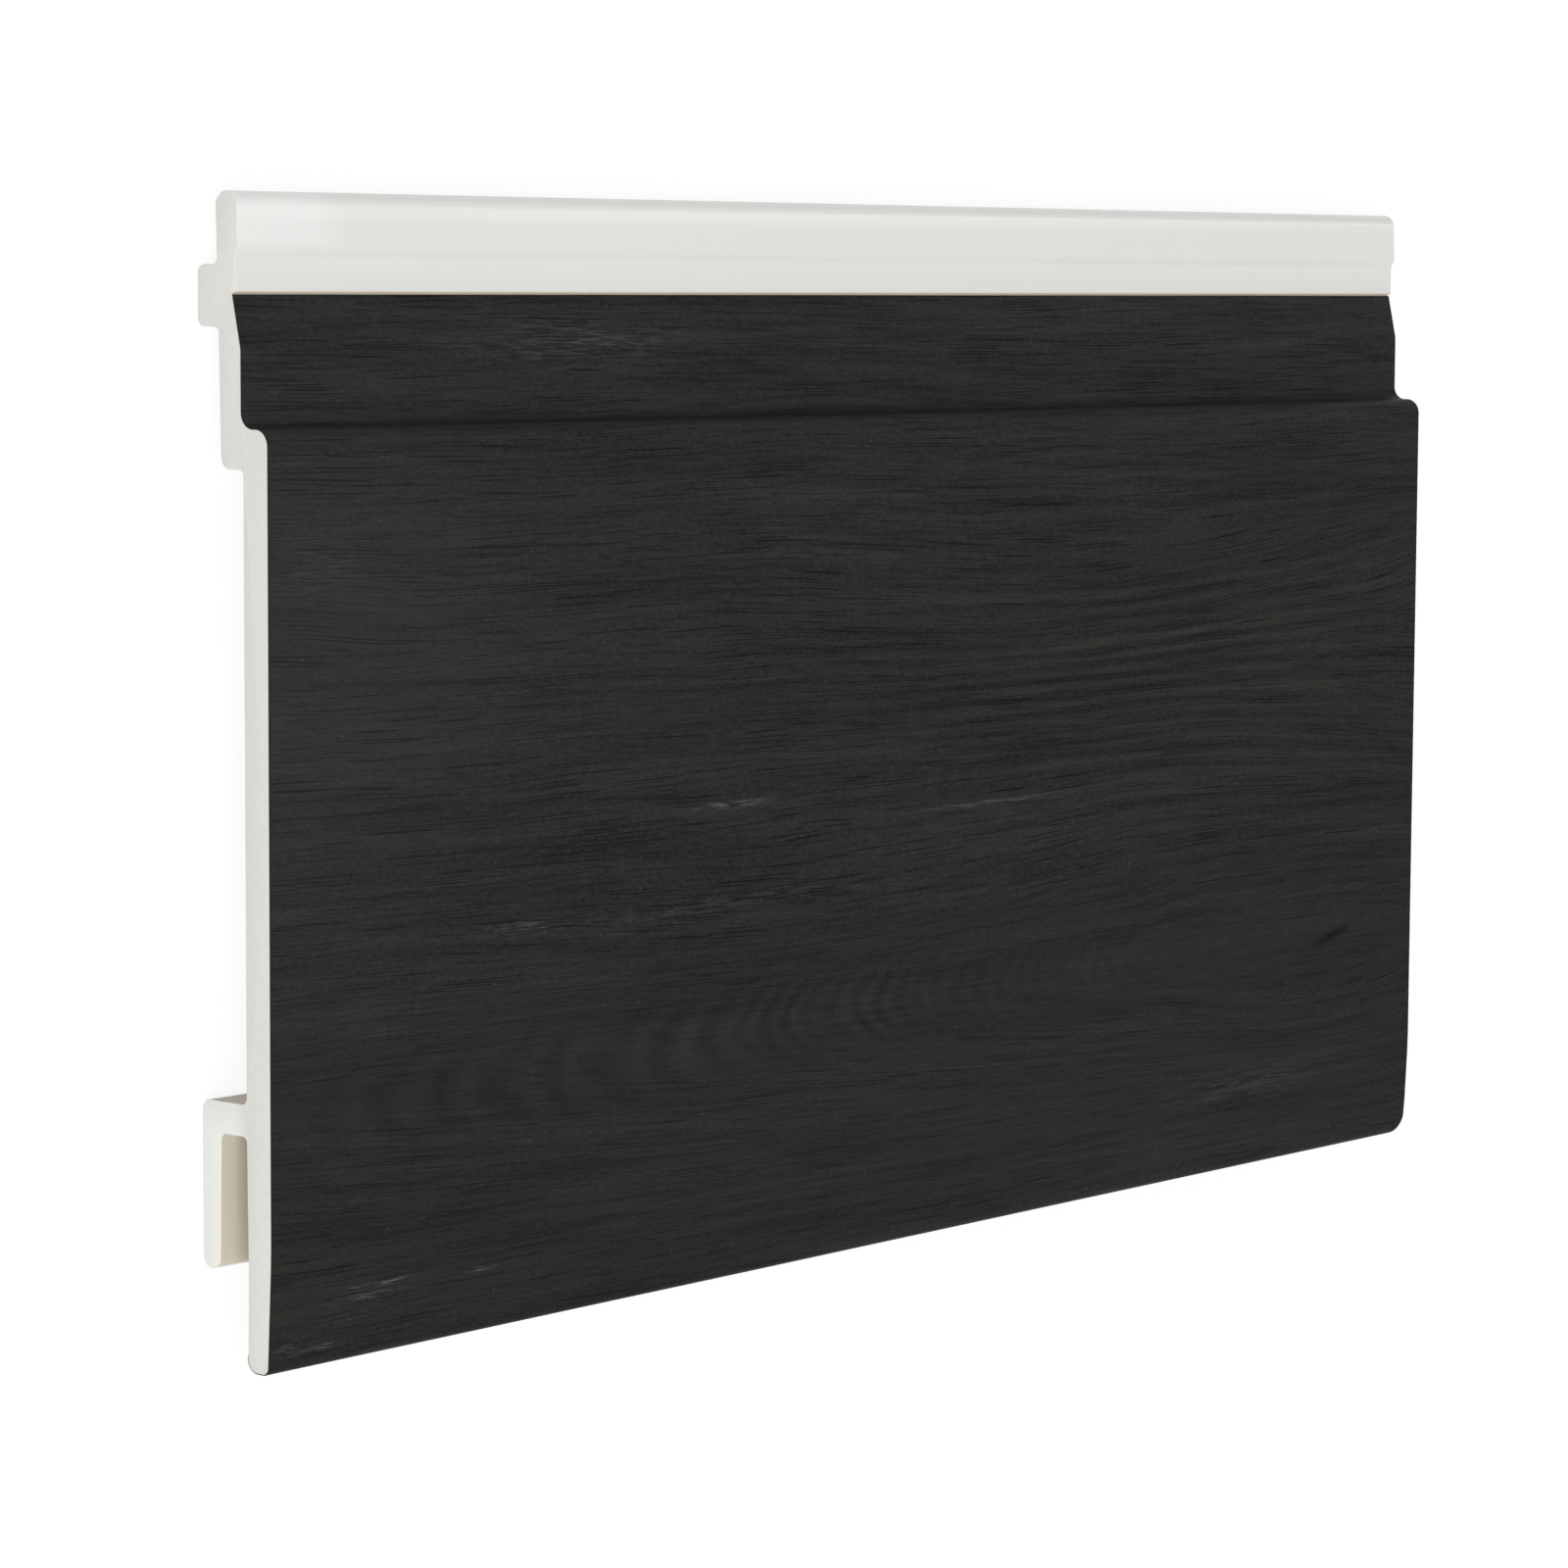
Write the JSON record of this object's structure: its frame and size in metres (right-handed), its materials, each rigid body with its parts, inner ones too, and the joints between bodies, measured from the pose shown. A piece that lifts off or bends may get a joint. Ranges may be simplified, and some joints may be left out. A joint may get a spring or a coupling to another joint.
{
  "type": "shadow gap cladding board",
  "caption": "Short sawn length of cellular PVC shadow gap cladding board with a dark woodgrain foil face, white fixing lip and nib on top, and a rear hook above the nose.",
  "frame": {"origin": "centre of the bounding box in plan, on the plane of the wall that the board bears on", "axes": "+X along the board, +Y up the wall from the nose to the lip, +Z out of the wall to the face"},
  "size_m": [0.336, 0.1974, 0.0168],
  "materials": {
    "white_pvc": "smooth satin extruded skin, fine matt foam on the sawn ends",
    "dark_woodgrain": "matt anthracite foil, embossed with a fine woodgrain"
  },
  "bodies": {
    "root": {"board_core": "white_pvc", "woodgrain_foil": "dark_woodgrain"}
  },
  "joints": []
}
